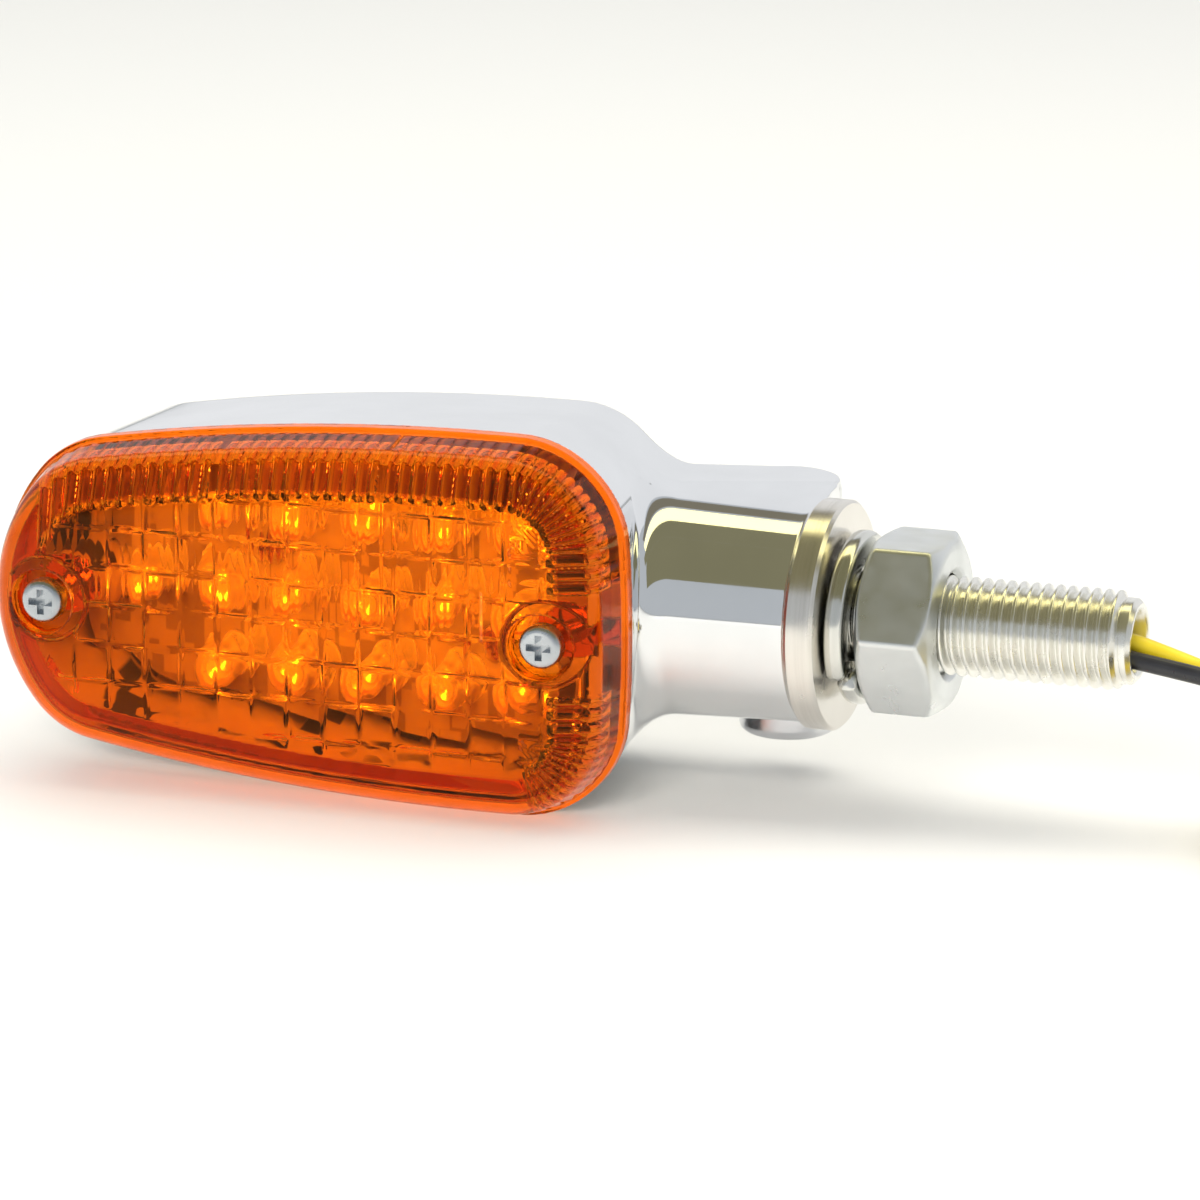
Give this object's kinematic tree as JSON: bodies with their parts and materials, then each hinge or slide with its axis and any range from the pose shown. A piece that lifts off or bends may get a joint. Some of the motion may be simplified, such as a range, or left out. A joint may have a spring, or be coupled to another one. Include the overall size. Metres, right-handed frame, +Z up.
{
  "type": "turn signal indicator",
  "caption": "Amber-lensed chrome LED turn signal on a swivelling hollow threaded stem with spring washer, hex nut and two leads.",
  "frame": {"origin": "on the stem's axis, in the plane of the collar's outer face, where the bracket is clamped", "axes": "+X along the stem from the lamp head to the stud's free end, +Z up, -Y the way the lens faces"},
  "size_m": [0.1528, 0.0402, 0.039],
  "materials": {
    "chrome_shell": "bright chrome plate, polished",
    "amber_lens": "transparent amber acrylic, moulded flutes and prisms",
    "gasket_rubber": "soft amber silicone rubber",
    "zinc_screw": "bright zinc-plated screw",
    "board": "pale solder resist on glass-epoxy",
    "led_epoxy": "clear amber epoxy",
    "resistor_body": "lacquered component body",
    "diode_body": "black moulded body",
    "black_rubber": "moulded black rubber",
    "chrome_screw": "chrome-plated screw",
    "satin_collar": "turned, satin nickel",
    "zinc_stud": "zinc-plated rolled thread",
    "spring_steel": "zinc-plated spring steel",
    "zinc_nut": "zinc-plated nut",
    "sleeve": "black heat-shrink sleeving",
    "black_wire": "black insulation",
    "yellow_wire": "yellow insulation",
    "tie": "black plastic-covered tie",
    "bullet_metal": "tinned brass",
    "bullet_insulator": "clear-grey vinyl"
  },
  "bodies": {
    "stem": {"swivel_stem": "satin_collar", "swivel_seal": "black_rubber", "mounting_stud": "zinc_stud", "lead_sleeve": "sleeve", "lead_black": "black_wire", "lead_yellow": "yellow_wire", "lead_black_coil": "black_wire", "lead_yellow_coil": "yellow_wire", "lead_black_tail": "black_wire", "lead_yellow_tail": "yellow_wire", "lead_tie": "tie", "bullet_black": "bullet_metal", "bullet_yellow": "bullet_metal", "bullet_sleeve_black": "bullet_insulator", "bullet_sleeve_yellow": "bullet_insulator"},
    "lamp": {"housing": "chrome_shell", "lens": "amber_lens", "lens_gasket": "gasket_rubber", "lens_screws": "zinc_screw", "led_board": "board", "led_emitters": "led_epoxy", "board_screws": "zinc_screw", "resistors": "resistor_body", "polarity_diode": "diode_body", "neck_grommet": "black_rubber", "clamp_screw": "chrome_screw", "lead_black_inner": "black_wire", "lead_yellow_inner": "yellow_wire"},
    "washer": {"spring_washer": "spring_steel"},
    "nut": {"hex_nut": "zinc_nut"}
  },
  "joints": [
    {"name": "head_swivel", "type": "hinge", "parent": "stem", "child": "lamp", "pos_m": [0, 0, 0], "axis": [1, 0, 0], "range_deg": [-180, 180]},
    {"name": "washer_travel", "type": "slide", "parent": "stem", "child": "washer", "axis": [1, 0, 0], "range_m": [0, 0.0176]},
    {"name": "nut_spin", "type": "hinge", "parent": "washer", "child": "nut", "pos_m": [0, 0, 0], "axis": [1, 0, 0], "range_deg": [0, 5040]}
  ],
  "couplings": [
    {"joint": "washer_travel", "follows": "nut_spin", "m_per_rad": 0.00019894}
  ]
}
